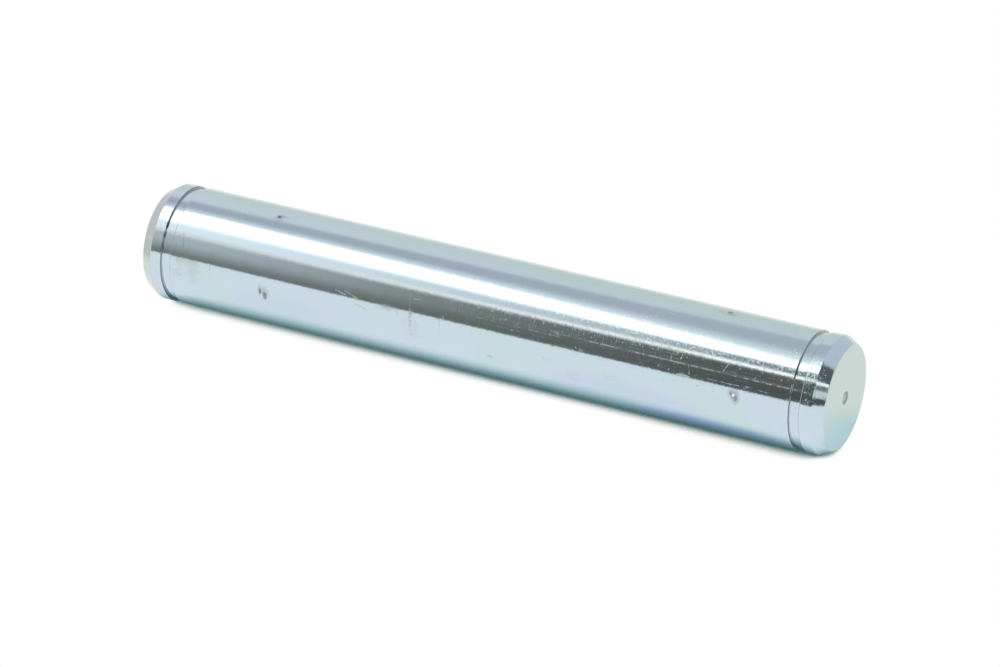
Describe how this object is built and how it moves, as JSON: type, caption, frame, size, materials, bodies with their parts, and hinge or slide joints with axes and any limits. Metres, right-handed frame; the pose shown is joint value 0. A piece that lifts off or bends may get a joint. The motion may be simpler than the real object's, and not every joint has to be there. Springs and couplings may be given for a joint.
{
  "type": "pivot pin",
  "caption": "Headless cylindrical pivot pin with a retaining ring groove and a chamfer at each end, zinc plated steel.",
  "frame": {"origin": "centre of the lower end face, on the pin's axis", "axes": "+Z along the pin's axis, from the lower end face to the upper one"},
  "size_m": [0.012, 0.012, 0.075],
  "materials": {
    "zinc_plated_steel": "bright bluish zinc plate over turned and ground steel, with fine scratches and small contact marks"
  },
  "bodies": {
    "root": {"pivot_pin": "zinc_plated_steel"}
  },
  "joints": []
}
